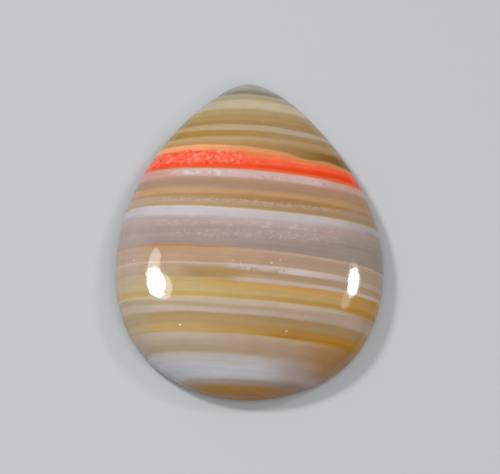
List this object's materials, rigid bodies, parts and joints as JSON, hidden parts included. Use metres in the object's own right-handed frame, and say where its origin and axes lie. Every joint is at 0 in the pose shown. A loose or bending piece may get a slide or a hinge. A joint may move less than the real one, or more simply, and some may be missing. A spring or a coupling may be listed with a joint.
{
  "type": "banded onyx cabochon",
  "caption": "Pear-shaped polished onyx cabochon with straight colour bands, a domed face, a slim girdle and a flat back for a setting.",
  "frame": {"origin": "centre of the bounding box in plan, on the flat back face", "axes": "+Z out of the domed face, +Y along the stone to its pointed tip, +X across it"},
  "size_m": [0.03, 0.04, 0.006],
  "materials": {
    "banded_onyx": "polished, banded in cream, tan, ochre, lilac grey, white and one red-orange band, slightly translucent"
  },
  "bodies": {
    "root": {"stone": "banded_onyx"}
  },
  "joints": []
}
